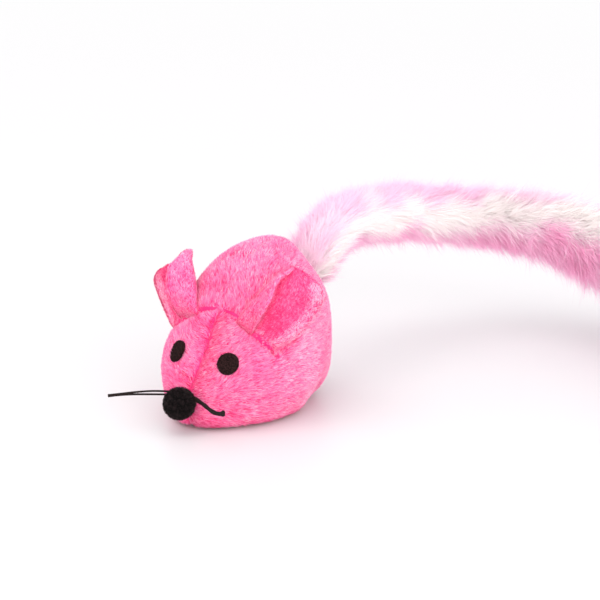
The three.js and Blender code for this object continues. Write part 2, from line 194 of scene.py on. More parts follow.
def smooth(shares, t):
    """The value at t, from 0 to 1, on a smooth line through evenly spaced shares."""
    shares = np.asarray(shares, float)
    place = np.clip(t, 0, 1) * (len(shares) - 1)
    i = np.minimum(np.asarray(place).astype(int), len(shares) - 2)
    f = place - i
    before, low, high, after = (shares[np.clip(i + k, 0, len(shares) - 1)] for k in (-1, 0, 1, 2))
    leave, arrive = (high - before) / 2, (after - low) / 2
    cubic = 2 * low - 2 * high + leave + arrive
    square = -3 * low + 3 * high - 2 * leave - arrive
    return ((cubic * f + square) * f + leave) * f + low


def body_point(along, around):
    """A point of the body: along is 0 at the muzzle, around is 0 on the back and 1 at the belly."""
    angle = np.pi * np.clip(along, 0, 1)
    waist, top = body_height * smooth(waist_shares, along), body_height * smooth(back_shares, along)
    belly = waist - (waist + belly_depth) * np.sqrt(np.sin(angle))
    turn = np.pi * np.asarray(around)
    power = np.where(np.cos(turn) >= 0, 1, 2 / 3)
    side = np.sign(np.sin(turn)) * np.abs(np.sin(turn)) ** power
    rise = np.abs(np.cos(turn)) ** power * (np.where(np.cos(turn) >= 0, top, belly) - waist)
    half = body_width / 2 * np.sin(angle)
    return np.stack(np.broadcast_arrays(half * side, -body_length / 2 * np.cos(angle), waist + rise), -1)


def unit(v):
    return v / np.maximum(np.linalg.norm(v, axis=-1, keepdims=True), 1e-12)


def body_normal(along, around):
    """The outward direction of the body at a place."""
    share = 0.004
    onward = body_point(along + share, around) - body_point(along - share, around)
    sideways = body_point(along, around + share) - body_point(along, around - share)
    return unit(np.cross(sideways, onward))


# %% [markdown]
# ## Seams
#
# A stuffed toy is panels that were sewn inside out, so each seam is a soft groove with the cloth
# swelling on both sides. There is one down the middle of face and back, one curved dart over each
# side of the forehead, which catches the ear, and one round the flat base. A groove is pressed in
# by how near a point lies to the seam's line.

# %% Where the seams run
dart_shares = np.array([[0.338, 0.03], [0.333, 0.1], [0.328, 0.2], [0.335, 0.3], [0.366, 0.41]])
dart_steps = np.linspace(0, 1, 60)
dart_left = body_point(smooth(dart_shares[:, 0], dart_steps), smooth(dart_shares[:, 1], dart_steps))
dart_right = dart_left * [-1, 1, 1]
crease_shares = np.array([[0.366, 0.41], [0.41, 0.42], [0.46, 0.405], [0.5, 0.38]])
crease_steps = np.linspace(0, 1, 30)
crease_left = body_point(smooth(crease_shares[:, 0], crease_steps), smooth(crease_shares[:, 1], crease_steps))


def distance_to_line(points, line):
    """How far each point lies from a line of points."""
    nearest = np.full(len(points), np.inf)
    for spot in line:
        nearest = np.minimum(nearest, np.linalg.norm(points - spot, axis=1))
    return nearest


def groove(distance, depth, width):
    return -depth * np.exp(-(distance / width) ** 2)


def seam_distances(points):
    """How far points lie from the middle seam, from the nearer dart and from the nearer pucker."""
    darts = np.minimum(distance_to_line(points, dart_left), distance_to_line(points, dart_right))
    creases = distance_to_line(points * np.where(points[:, :1] < 0, [-1, 1, 1], 1), crease_left)
    return np.abs(points[:, 0]), darts, creases


body_swells = [((9, 26, 54), 13.7, -3.1), ((19, 15, 3), 7.5, -3.2), ((15, 2, 50), 12, 1.0),
               ((21, -22, 22), 12, 0.8)]


def cloth_relief(points):
    """How far the stuffed cloth lies outside the solid's surface, negative in a seam."""
    middle, darts, creases = seam_distances(points)
    relief = 0.5 * mm * (1 - np.exp(-np.minimum(middle, darts) / (5 * mm)))
    relief += groove(middle, 0.35 * mm, 1.5 * mm) + groove(darts, 1.6 * mm, 0.8 * mm)
    relief += groove(creases, 1.9 * mm, 1.2 * mm)
    lumps = np.sin(points / [5.1 * mm, 6.7 * mm, 5.9 * mm] + [1.3, 0, 0.7])
    relief += 0.3 * mm * lumps.prod(1)
    one_side = np.abs(points * [1, 0, 0]) + points * [0, 1, 1]
    for middle, reach, height in body_swells:
        away = np.linalg.norm(one_side / mm - middle, axis=1)
        relief += height * mm * np.exp(-(away / reach) ** 2)
    return relief


# %% [markdown]
# ## The body panels
#
# The whole skin is shaped first and then cut along its seams with bisect_plane into a left panel,
# a right panel and the flat base. Cutting a finished skin makes the panels' edges meet exactly.
# A Solidify modifier gives them the thickness of plush, inwards, so the outside stays put.

# %% Shape the skin
def finish_mesh(bm, name, material):
    """A bmesh as an object of the scene."""
    mesh = bpy.data.meshes.new(name)
    bm.to_mesh(mesh)
    bm.free()
    made = bpy.data.objects.new(name, mesh)
    bpy.context.scene.collection.objects.link(made)
    mesh.materials.append(material)
    mesh.shade_smooth()
    return made


def body_skin(inset=pile_depth, lowest=0.0):
    """The body's surface, set back by a distance and closed below at a level."""
    bm = bmesh.new()
    bmesh.ops.create_uvsphere(bm, u_segments=192, v_segments=128, radius=1)
    ball = np.array([v.co for v in bm.verts])
    along = np.arccos(np.clip(ball[:, 2], -1, 1)) / np.pi
    around = np.arctan2(ball[:, 1], ball[:, 0]) / np.pi
    skin = body_point(along, around)
    out = body_normal(np.clip(along, 0.01, 0.99), around)
    skin = skin + out * (cloth_relief(skin) - inset)[:, None]
    rim = 2.2 * mm
    low = skin[:, 2] < rim
    skin[low, 2] = rim * np.exp((skin[low, 2] - rim) / rim)
    skin[:, 2] = np.maximum(np.where(skin[:, 2] < 0.12 * mm, 0, skin[:, 2]), lowest)
    for vertex, place in zip(bm.verts, skin):
        vertex.co = place
    bmesh.ops.recalc_face_normals(bm, faces=bm.faces)
    return bm


def cut(bm, point, normal):
    """Keeps what lies in front of a plane."""
    everything = bm.verts[:] + bm.edges[:] + bm.faces[:]
    bmesh.ops.bisect_plane(bm, geom=everything, plane_co=point, plane_no=normal, clear_inner=True, dist=1e-7)


def thicken(made, thickness):
    wall = made.modifiers.new("cloth_thickness", "SOLIDIFY")
    wall.thickness = thickness
    wall.offset = -1
    wall.use_even_offset = True


panels = {}
for name, planes in {
    "side_panel_cloth_left": [((0, 0, 0), (1, 0, 0)), ((0, 0, base_level), (0, 0, 1))],
    "side_panel_cloth_right": [((0, 0, 0), (-1, 0, 0)), ((0, 0, base_level), (0, 0, 1))],
    "base_panel_cloth": [((0, 0, base_level), (0, 0, -1))],
}.items():
    bm = body_skin()
    for point, normal in planes:
        cut(bm, point, normal)
    panels[name] = finish_mesh(bm, name, base_knit if "base" in name else pink_knit)
    thicken(panels[name], 1.2 * mm)
    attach(panels[name], "mouse")
    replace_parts(panels[name], name.replace("_cloth", ""))
    print(name, len(panels[name].data.vertices), "vertices")

# %% [markdown]
# ## Hairs
#
# Pile and fur could be a hair system, but that has no mesh, and the toy has to keep its coat
# wherever it goes. So each hair is a flat blade that tapers to a point, turned so that its face
# looks outwards. bmesh makes one blade, and numpy copies it to every root, which takes a second
# for a hundred thousand of them. Hairs carry three numbers that their material reads: their own
# shade, how near the tip a point is, and where on the piece the root stands.

# %% A blade and a coat of them
def blade(rows):
    """One hair: its points' heights and sides, and its triangles."""
    bm = bmesh.new()
    bmesh.ops.create_grid(bm, x_segments=1, y_segments=rows, size=0.5)
    top = [v for v in bm.verts if v.co.y > 0.499]
    bmesh.ops.pointmerge(bm, verts=top, merge_co=Vector((0, 0.5, 0)))
    bmesh.ops.triangulate(bm, faces=bm.faces[:])
    bm.verts.index_update()
    height = np.array([v.co.y + 0.5 for v in bm.verts])
    side = np.array([np.sign(round(v.co.x, 6)) for v in bm.verts])
    faces = np.array([[v.index for v in f.verts] for f in bm.faces])
    bm.free()
    return height, side, faces


def coat(name, material, roots, out, flow, length, width, rise, settle, rng,
         rows=2, twist=0.5, fall=0.0, gather=0.0, stray=0.0, tufts=0, marks=None, floor=None):
    """A mesh of hairs that leave roots at angle rise from the surface and end at angle settle."""
    height, side, faces = blade(rows)
    count = len(roots)
    tuft, pull = nearest_tuft(roots, tufts, rng)
    first = unit(flow * np.cos(rise)[:, None] + out * np.sin(rise)[:, None])
    last = flow * np.cos(settle)[:, None] + out * np.sin(settle)[:, None] - up * fall
    last = unit(last + stray * rng.normal(0, 1, (tufts, 3))[tuft])
    across = unit(np.cross(first, out))
    turn = rng.uniform(-twist, twist, count)[:, None]
    across = across * np.cos(turn) + np.cross(first, across) * np.sin(turn)
    t = height[None, :, None]
    centre = roots[:, None] + length[:, None, None] * (
        first[:, None] * (t - t * t / 2) + last[:, None] * t * t / 2)
    centre += gather * pull[:, None] * t * t
    breadth = width[:, None, None] / 2 * (1 - 0.85 * t ** 2) * side[None, :, None]
    points = centre + breadth * across[:, None]
    if floor is not None:
        points[..., 2] = np.maximum(points[..., 2], floor)
    shade = 0.5 * rng.uniform(0, 1, tufts)[tuft] + 0.5 * rng.uniform(0, 1, count)
    return hair_mesh(name, material, points, faces, height, {"shade": shade, **(marks or {})})


def nearest_tuft(roots, tufts, rng):
    """Which tuft each hair belongs to, and the way from its root to the tuft's middle."""
    middles = roots[rng.choice(len(roots), tufts, replace=False)]
    tree = KDTree(tufts)
    for i, spot in enumerate(middles):
        tree.insert(spot, i)
    tree.balance()
    nearest = np.array([tree.find(root)[1] for root in roots])
    return nearest, middles[nearest] - roots


def hair_mesh(name, material, points, faces, height, marks):
    count, corners = points.shape[:2]
    triangles = (faces[None] + corners * np.arange(count)[:, None, None]).reshape(-1, 3)
    mesh = bpy.data.meshes.new(name)
    mesh.vertices.add(count * corners)
    mesh.vertices.foreach_set("co", points.reshape(-1).astype(np.float32))
    mesh.loops.add(len(triangles) * 3)
    mesh.loops.foreach_set("vertex_index", triangles.reshape(-1).astype(np.int32))
    mesh.polygons.add(len(triangles))
    mesh.polygons.foreach_set("loop_start", np.arange(len(triangles), dtype=np.int32) * 3)
    mesh.update(calc_edges=True)
    mesh.shade_smooth()
    marks = {**marks, "tip": None}
    for key, values in marks.items():
        spread = np.tile(height, count) if values is None else np.repeat(values, corners)
        mesh.attributes.new(key, "FLOAT", "POINT").data.foreach_set("value", spread.astype(np.float32))
    hair_map(mesh, points, triangles)
    mesh.materials.append(material)
    made = bpy.data.objects.new(name, mesh)
    bpy.context.scene.collection.objects.link(made)
    print(name, count, "hairs,", len(triangles), "triangles")
    return made


def hair_map(mesh, points, triangles):
    """A map of the piece from in front and behind."""
    flat = points.reshape(-1, 3)
    low, high = flat.min(0), flat.max(0)
    place = (flat - low) / np.maximum(high - low, 1e-9)
    middle = (low + high) / 2
    half = np.where(flat[:, :1] > middle[0], 0.5, 0.0)
    uv = np.concatenate([place[:, 1:2] * 0.49 + half, place[:, 2:3]], 1)
    layer = mesh.uv_layers.new(name="OFBake")
    layer.data.foreach_set("uv", uv[triangles.reshape(-1)].reshape(-1).astype(np.float32))


def scatter(made, count, rng, values=None):
    """Random places on a mesh, even by area, with the surface's direction and values at each."""
    mesh = made.data
    mesh.calc_loop_triangles()
    corners = np.array([t.vertices for t in mesh.loop_triangles])
    co, no = (np.array([getattr(v, key) for v in mesh.vertices]) for key in ("co", "normal"))
    a, b, c = co[corners[:, 0]], co[corners[:, 1]], co[corners[:, 2]]
    area = np.linalg.norm(np.cross(b - a, c - a), axis=1)
    pick = rng.choice(len(corners), count, p=area / area.sum())
    u, v = rng.uniform(0, 1, (2, count))
    u, v = np.where(u + v > 1, 1 - u, u), np.where(u + v > 1, 1 - v, v)
    share = np.stack([1 - u - v, u, v], 1)[..., None]
    found = [(given[corners[pick]] * share).sum(1) for given in (co, no, values) if given is not None]
    return found[0], unit(found[1]), *found[2:]


def along_surface(flow, out):
    """The part of a direction that lies in the surface."""
    return unit(flow - (flow * out).sum(1, keepdims=True) * out)


# %% [markdown]
# ## The body's pile
#
# The nap runs backwards along the flanks. On the face it parts at the middle seam and combs away
# from it, and over the back it lies askew. The lean wanders a little, as brushed pile does, which
# gives the fine light and dark streaks. Near a dart or a pucker the hairs are shorter, so that the
# seam stays open. Hairs of 1.5 to 3.1 mm by 0.13 to 0.22 mm are wisps of several real ones, drawn
# as coarse as they need to be to show.

# %% Body pile
def wander(points, reach, rng):
    """A slowly changing angle over the body, from a few waves with random directions."""
    angle = np.zeros(len(points))
    for _ in range(6):
        wave = rng.normal(0, 1 / reach, 3)
        angle += np.sin(points @ wave + rng.uniform(0, 2 * np.pi))
    return angle


def in_front_of_dart(points):
    """1 on the face, in front of the dart seams, and 0 behind them."""
    line = np.interp(np.abs(points[:, 0]), dart_left[:, 0], dart_left[:, 1])
    return 1 / (1 + np.exp((points[:, 1] - line) / (0.8 * mm)))


def body_flow(points, out, rng):
    side = np.tanh(points[:, 0] / (0.8 * mm))
    face = in_front_of_dart(points)
    brow = face * np.exp(-(points[:, 0] / (7 * mm)) ** 2)
    crown = (1 - face) * np.clip(1.5 * out[:, 2] - 0.4, 0, 1)
    flow = np.stack([side * (0.3 * face + 0.9 * brow) - 0.5 * crown, 1 - 0.3 * brow, -0.35 * brow], 1)
    flow = along_surface(flow, out)
    turn = (0.1 * wander(points, 6 * mm, rng) + rng.normal(0, 0.11, len(points)))[:, None]
    return flow * np.cos(turn) + np.cross(out, flow) * np.sin(turn)


def body_pile(name, side, count, lengths, widths, rise, lift, rng):
    places, out = scatter(panels[f"side_panel_cloth_{side}"], count, rng)
    keep = seam_distances(places)[1] > 0.45 * mm
    places, out = places[keep], out[keep]
    count = len(places)
    flow = body_flow(places, out, rng)
    middle, darts, creases = seam_distances(places)
    behind = 1 - in_front_of_dart(places)
    seam = np.minimum(darts, creases + 0.2 * mm)
    parting = np.exp(-(seam / (0.9 * mm)) ** 2)
    valley_painted_shade = (1 - behind) * np.exp(-(middle / (1.6 * mm)) ** 2)
    # Painted light and shade in the tone: flanks and the top of the back paler as painted light, hairs near
    # the floor deeper as painted contact shade, hairs beside darts and puckers deeper as painted shade in the
    # seams, and the middle of the face a little deeper as painted shade in its groove.
    flank = np.clip((np.abs(out[:, 0]) - 0.45) * 2, 0, 1) * behind
    crown = behind * np.clip(out[:, 2], 0, 1) ** 2
    rim = np.exp(-(places[:, 2] / (1.7 * mm)) ** 2)
    tone = lift + 0.15 * flank + 0.08 * crown - 0.5 * rim - 0.5 * parting - 0.06 * valley_painted_shade
    tone = tone + 0.035 * wander(places, 4 * mm, rng)
    length = np.minimum(rng.uniform(*lengths, count) * mm, 0.2 * mm + 0.75 * seam)
    piece = coat(name, pink_pile, places - out * 0.1 * mm, out, flow, length,
                 rng.uniform(*widths, count) * mm, rng.normal(rise, 0.1, count) * (1 - 0.5 * parting),
                 rng.normal(0.05, 0.1, count), rng, gather=0.4, tufts=count // 8,
                 marks={"tone": tone}, floor=0.1 * mm)
    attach(piece, "mouse")


rng = np.random.default_rng(11)
for side in ("left", "right"):
    body_pile(f"plush_pile_{side}", side, 52000, (1.5, 2.5), (0.13, 0.21), 0.44, 0.37, rng)
    body_pile(f"plush_wisps_{side}", side, 16000, (2.1, 3.1), (0.13, 0.22), 0.32, 0.54, rng)

# %% [markdown]
# ## Ears
#
# Each ear is a leaf of plush that is folded lengthwise and caught at its foot in the dart seam.
# A flat grid becomes the folded leaf when its rows follow three lines: the inner rim, the fold
# and the outer rim. A curve through three points rounds the fold, as thick cloth does.

# %% Curves through points
def spline(points, t):
    """Points at shares t of a smooth line through points, with no overshoot on uneven steps."""
    points = np.asarray(points, float)
    points = np.vstack([2 * points[0] - points[1], points, 2 * points[-1] - points[-2]])
    place = np.clip(np.asarray(t, float), 0, 1) * (len(points) - 3)
    i = np.minimum(place.astype(int), len(points) - 4)
    f = (place - i)[..., None]
    p0, p1, p2, p3 = (points[i + k] for k in range(4))
    gap = [np.maximum(np.linalg.norm(b - a, axis=-1, keepdims=True) ** 0.5, 1e-9)
           for a, b in ((p0, p1), (p1, p2), (p2, p3))]
    leave = ((p1 - p0) / gap[0] - (p2 - p0) / (gap[0] + gap[1]) + (p2 - p1) / gap[1]) * gap[1]
    arrive = ((p2 - p1) / gap[1] - (p3 - p1) / (gap[1] + gap[2]) + (p3 - p2) / gap[2]) * gap[1]
    cubic = 2 * p1 - 2 * p2 + leave + arrive
    square = -3 * p1 + 3 * p2 - 2 * leave - arrive
    return ((cubic * f + square) * f + leave) * f + p1


# %% The folded ear
ear_length, ear_width = 25 * mm, 21 * mm
ear_fold_bend, fold_limit_share, wing_share = 4.5 * mm, 0.65, 0.2
# Each point: along the fold, across the opening and backwards, as shares of the ear's length, width
# and width. The two ears are folded differently. The first two numbers of each point were solved
# so that the lines pass through places read off the photograph.
ear_outlines = {
    "left": {
        "inner_rim": [[0.085, 0.329, -0.095], [0.355, 0.278, -0.33], [0.599, 0.182, -0.33],
                      [0.87, 0.036, -0.22], [1.128, 0.07, -0.05]],
        "fold": [[0.027, -0.064, 0.016], [0.268, -0.089, -0.07], [0.519, -0.108, -0.06],
                 [0.799, -0.086, -0.02], [1.13, -0.026, 0]],
        "outer_rim": [[0.157, 0.782, 0], [0.392, 0.89, -0.04], [0.601, 0.931, -0.08],
                      [0.929, 0.875, -0.13], [1.131, 0.806, -0.2], [1.237, 0.607, -0.17],
                      [1.227, 0.392, -0.13], [1.197, 0.211, -0.08]]},
    "right": {
        "inner_rim": [[0.154, 0.431, -0.09], [0.217, 0.349, -0.25], [0.342, 0.26, -0.376],
                      [0.473, 0.222, -0.43], [0.597, 0.158, -0.46], [0.724, 0.113, -0.44],
                      [0.819, 0.065, -0.37], [1.006, -0.088, -0.2]],
        "fold": [[0.015, -0.072, 0], [0.211, -0.114, -0.01], [0.45, -0.109, 0],
                 [0.662, -0.11, -0.03], [1.056, -0.026, -0.03]],
        "outer_rim": [[0.173, 0.845, 0], [0.487, 0.944, -0.08], [0.725, 0.942, -0.19],
                      [0.892, 0.946, -0.25], [0.952, 0.853, -0.288], [0.997, 0.738, -0.27],
                      [0.986, 0.577, -0.22]]}}
fold_foot = body_point(0.328, 0.127)
outer_foot = body_point(0.372, 0.405)
fold_axis = unit(np.array([0.477, 0.56, 0.676]))
foot_line = outer_foot - fold_foot
across_axis = unit(foot_line - foot_line @ fold_axis * fold_axis)
back_axis = np.cross(fold_axis, across_axis)
into_body = -body_normal(0.345, 0.26) - 0.35 * fold_axis
foot_share = 0.18


def ear_line(shares, t):
    reach = np.array(shares) * [ear_length, ear_width, ear_width]
    return spline(fold_foot + reach @ np.array([fold_axis, across_axis, back_axis]), t)


def ear_point(outline, along, across):
    """A point of the leaf: along from foot to tip, across from rim over the fold to rim."""
    inner, apex, outer = (ear_line(outline[k], along) for k in ("inner_rim", "fold", "outer_rim"))
    reach_in, reach_out = (np.linalg.norm(rim - apex, axis=-1, keepdims=True) for rim in (inner, outer))
    bend = np.minimum(ear_fold_bend, fold_limit_share * reach_in)
    first, last = apex + (inner - apex) * bend / reach_in, apex + (outer - apex) * bend / reach_out
    s = across[..., None]
    on_first = inner + (first - inner) * s / wing_share
    on_last = outer + (last - outer) * (1 - s) / wing_share
    r = (s - wing_share) / (1 - 2 * wing_share)
    on_bend = first * (1 - r) ** 2 + 2 * apex * r * (1 - r) + last * r ** 2
    return np.where(s < wing_share, on_first, np.where(s > 1 - wing_share, on_last, on_bend))


# %% [markdown]
# ## The two layers of an ear
#
# The leaf has an outer layer, which continues the body's plush, and a lining of the same plush in
# the shade of the fold, painted a deeper pink for that shade. solidify makes a flat grid into a
# closed slab, and its two faces then move to where the layer starts and ends.

# %% Ears
def leaf_steps(outline, along, across, step):
    low, high = np.clip(along - step, 0, 1), np.clip(along + step, 0, 1)
    left, right = np.clip(across - step, 0, 1), np.clip(across + step, 0, 1)
    upward = ear_point(outline, high, across) - ear_point(outline, low, across)
    return upward, ear_point(outline, along, right) - ear_point(outline, along, left)


def leaf_normal(outline, along, across):
    return unit(np.cross(*leaf_steps(outline, np.clip(along, 0, 1), across, 0.02)))


def leaf_places(outline, along, across, off):
    """Places off the leaf's middle. Inside the fold they stop before they meet the other side."""
    kept = np.clip(along, 0, 1)
    facing = np.linalg.norm(ear_point(outline, kept, across) - ear_point(outline, kept, 1 - across), axis=1)
    off = np.maximum(off, -np.maximum(0.42 * facing, 0.2 * mm))
    foot = -np.minimum(along, 0)[:, None] * ear_length * into_body
    return ear_point(outline, kept, across) + leaf_normal(outline, along, across) * off[:, None] + foot


def ear_slab(outline, near, far, side):
    """A closed leaf between two distances from the ear's middle, and where its points lie on it."""
    bm = bmesh.new()
    bmesh.ops.create_grid(bm, x_segments=44, y_segments=36, size=0.5)
    bmesh.ops.solidify(bm, geom=bm.faces[:], thickness=1)
    flat = np.array([v.co for v in bm.verts])
    across, along = flat[:, 0] + 0.5, flat[:, 1] + 0.5
    corner = np.abs(2 * across - 1) ** 6
    along = -foot_share + along * (0.98 + foot_share - 0.03 * corner * along ** 4)
    off = np.where(flat[:, 2] - flat[:, 2].min() > 0.5, far, near)
    places = leaf_places(outline, along, across, off)
    for vertex, place in zip(bm.verts, places * [side, 1, 1]):
        vertex.co = place
    bmesh.ops.recalc_face_normals(bm, faces=bm.faces)
    if bm.calc_volume(signed=True) < 0:
        bmesh.ops.reverse_faces(bm, faces=bm.faces)
    return bm, np.stack([along, across, off], 1)


def ear_pile(name, outline, count, face, side, rng):
    bm, spots = ear_slab(outline, -0.6 * mm, 0.7 * mm, side)
    slab = finish_mesh(bm, "slab", pink_pile)
    places, out, spots = scatter(slab, count, rng, spots)
    bpy.data.objects.remove(slab)
    keep = ((spots[:, 2] - 0.05 * mm) * face > 0) & (spots[:, 0] > -0.09)
    places, out, (along, across, _) = places[keep], out[keep], spots[keep].T
    count = len(places)
    upward, _ = leaf_steps(outline, np.clip(along, 0.02, 0.98), across, 0.02)
    flow = along_surface(unit(upward) * [side, 1, 1], out)
    turn = rng.normal(0, 0.3, count)[:, None]
    flow = flow * np.cos(turn) + np.cross(out, flow) * np.sin(turn)
    # Painted light in the tone: rims and tip paler as a painted highlight, and on the lining a paler band
    # near the outer rim, painted light where the wing turns outwards.
    rim = np.maximum(np.abs(2 * across - 1) ** 60, np.clip(along - 0.9, 0, 0.1) * 10)
    wing = np.clip((across - 0.935) * 35, 0, 1) * np.clip((0.85 - along) * 4, 0, 1)
    tone = (0.43 if face > 0 else 0.41 + 0.36 * wing) + 0.08 * rim + 0.03 * wander(places, 3 * mm, rng)
    return coat(name, pink_pile if face > 0 else lining_pile, places, out, flow,
                rng.uniform(0.9, 1.6, count) * mm, rng.uniform(0.15, 0.24, count) * mm,
                rng.normal(0.4, 0.1, count), rng.normal(0.05, 0.1, count), rng,
                gather=0.3, tufts=count // 7, marks={"tone": tone})


ear_pivot = (fold_foot + outer_foot) / 2
# The lining's knit and pile are the plush painted deeper: painted shade inside the fold.
lining_knit = knit_backing("plush_knit_backing_painted_shade", "DE2468", "E83A7C")
lining_painted_shade_stops = [(0.0, "DE1C5C"), (0.35, "F23F7C"), (0.65, "FB6CA2"), (1.0, "FFB0CC")]
lining_pile = plush_pile("plush_pile_painted_shade", lining_painted_shade_stops, "FFB0CC")
for side, mirror in (("left", 1), ("right", -1)):
    outline = ear_outlines[side]
    pieces = []
    for layer, near, far, knit in (("back", 0.05, 0.8, pink_knit), ("lining", -0.05, -0.7, lining_knit)):
        bm, _ = ear_slab(outline, near * mm, far * mm, mirror)
        pieces.append(finish_mesh(bm, f"ear_cloth_{side}_{layer}", knit))
    for layer, face in (("back", 1), ("lining", -1)):
        pieces.append(ear_pile(f"ear_pile_{side}_{layer}", outline, 34000, face, mirror, rng))
    start = ear_pivot * [mirror, 1, 1]
    end = start + 5 * mm * fold_axis * [mirror, 1, 1]
    for piece in pieces:
        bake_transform(piece)
    for piece, layer in zip(pieces, ("back", "lining")):
        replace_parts(piece, f"ear_{side}_{layer}")

# %% [markdown]
# ## Felt eyes
#
# Pressed wool felt, cut with a punch: a matt black disc whose edge is a little ragged, glued flat
# to the pile. A cylinder with its rim rounded and its outline wandering by 0.1 mm gives that, and
# short stray fibres break the edge.

# %% Eyes
eye_diameter, eye_thickness, eye_spacing = 8 * mm, 1.4 * mm, 23.2 * mm
eye_station_share = 0.7315
eye_along = math.acos(eye_station_share) / math.pi
eye_around = math.asin(eye_spacing / 2 / (body_width / 2 * math.sin(math.pi * eye_along))) / math.pi
felt, shader = new_material("pressed_wool_felt_black")
fibres = mottled(felt, 1 / (0.5 * mm), 6.0)
plug(felt, shader.inputs["Base Color"], ramp(felt, fibres, [(0.35, "0C0505"), (0.7, "3A2424")]))
plug(felt, shader.inputs["Normal"],
     add(felt, "Bump", Height=fibres, Strength=0.7, Distance=0.25 * mm).outputs["Normal"])
cloth_surface(shader, 0.95, 0.08, "8A6468", 0.1)


def frame_at(place, out):
    """A matrix that stands things at a place, with Z outwards."""
    return Matrix.Translation(Vector(place)) @ Vector(out).to_track_quat("Z", "Y").to_matrix().to_4x4()


def felt_disc(name, side, seed):
    bm = bmesh.new()
    bmesh.ops.create_cone(bm, cap_ends=True, segments=72, radius1=eye_diameter / 2,
                          radius2=eye_diameter / 2, depth=eye_thickness)
    rim = [e for e in bm.edges if abs(e.verts[0].co.z - e.verts[1].co.z) < 1e-6]
    bmesh.ops.bevel(bm, geom=rim, offset=0.35 * mm, segments=3, profile=0.5, affect="EDGES", material=-1)
    caps = [f for f in bm.faces if abs(f.normal.z) > 0.99 and len(f.verts) > 8]
    bmesh.ops.inset_region(bm, faces=caps, thickness=1.4 * mm, depth=0.12 * mm)
    waves = np.random.default_rng(seed).uniform(0, 6.28, 4)
    for vertex in bm.verts:
        turn = math.atan2(vertex.co.y, vertex.co.x)
        swell = 1 + 0.012 * math.sin(3 * turn + waves[0]) + 0.01 * math.sin(7 * turn + waves[1])
        vertex.co.x, vertex.co.y = vertex.co.x * swell, vertex.co.y * swell
    mirror = np.array([side, 1, 1])
    place, out = body_point(eye_along, eye_around) * mirror, body_normal(eye_along, eye_around) * mirror
    out = unit(out + np.array([-0.25, 0, 0]) * (side < 0))
    place = place + np.array([0.5, 0, 0.6]) * mm * (side < 0) + out * (eye_thickness / 2 - 0.3 * mm)
    bm.transform(frame_at(place, out))
    bmesh.ops.recalc_face_normals(bm, faces=bm.faces)
    return finish_mesh(bm, name, felt)


for side, mirror, seed in (("left", 1, 4), ("right", -1, 5)):
    eye = felt_disc(f"eye_felt_{side}", mirror, seed)
    places, out = scatter(eye, 4200, rng)
    count = len(places)
    flow = along_surface(rng.normal(0, 1, (count, 3)), out)
    fuzz = coat(f"eye_fuzz_{side}", felt, places, out, flow, rng.uniform(0.3, 0.8, count) * mm,
                rng.uniform(0.06, 0.12, count) * mm, rng.uniform(0.1, 0.7, count),
                rng.uniform(-0.2, 0.3, count), rng, gather=0.4, tufts=300)
    for piece in (eye, fuzz):
        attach(piece, "mouse")
    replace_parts(eye, f"eye_{side}")

# %% [markdown]
# ## Pompom nose
#
# A pompom is yarn tied at its middle and clipped to a ball, so its fibres stand out from the
# centre and end on one sphere, a little unevenly. A smaller ball carries them.

# %% Nose
pompom, shader = new_material("acrylic_pompom_yarn_black")
# Darker towards the fibres' roots: painted shade deep inside the ball.
depth = add(pompom, "Attribute", {"attribute_name": "tip"}).outputs["Fac"]
shade = add(pompom, "Attribute", {"attribute_name": "shade"}).outputs["Fac"]
mixed = add(pompom, "Math", {"operation": "MULTIPLY_ADD"}, i0=shade, i1=0.8, i2=depth).outputs[0]
mixed = add(pompom, "Math", {"operation": "MULTIPLY"}, i0=mixed, i1=0.6).outputs[0]
plug(pompom, shader.inputs["Base Color"],
     ramp(pompom, mixed, [(0.3, "020101"), (0.6, "0E0909"), (1.0, "4A3A3C")]))
cloth_surface(shader, 0.75, 0.08, "9A8C90", 0.2)
nose_centre = np.array([0, -40.5, 11]) * mm
nose_radius, nose_core_radius = 6.35 * mm, 4.9 * mm
bm = bmesh.new()
bmesh.ops.create_icosphere(bm, subdivisions=4, radius=nose_core_radius)
for vertex in bm.verts:
    vertex.co = Vector(nose_centre) + vertex.co
ball = finish_mesh(bm, "pompom_core", pompom)
places, out = scatter(ball, 15000, rng)
count = len(places)
flow = along_surface(rng.normal(0, 1, (count, 3)), out)
reach = nose_radius - nose_core_radius
fibres = coat("pompom_fibres", pompom, places, out, flow,
              reach * rng.normal(0.94, 0.06, count), rng.uniform(0.1, 0.17, count) * mm,
              rng.normal(1.25, 0.15, count), rng.normal(1.2, 0.25, count), rng, gather=0.5, tufts=330,
              stray=0.2, floor=0.1 * mm)
for piece in (ball, fibres):
    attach(piece, "mouse")
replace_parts(ball, "nose_pompom")

# %% [markdown]
# ## Whiskers
#
# Two waxed cotton threads pass through the muzzle. On one side they are stiff and straight, and
# on the other they cling together, wave a little and end in a dab of wax. Each is a bevelled
# curve turned into a mesh.

# %% Whiskers
waxed, shader = new_material("waxed_cotton_thread_black")
place = add(waxed, "TexCoord").outputs["Object"]
plies = add(waxed, "TexNoise", Vector=place, Scale=1 / (0.35 * mm), Detail=2.0).outputs["Fac"]
plug(waxed, shader.inputs["Base Color"], ramp(waxed, plies, [(0.35, "110B0B"), (0.7, "2A1D1B")]))
plug(waxed, shader.inputs["Normal"],
     add(waxed, "Bump", Height=plies, Strength=0.5, Distance=0.1 * mm).outputs["Normal"])
shader.inputs["Roughness"].default_value = 0.7
shader.inputs["Specular IOR Level"].default_value = 0.15


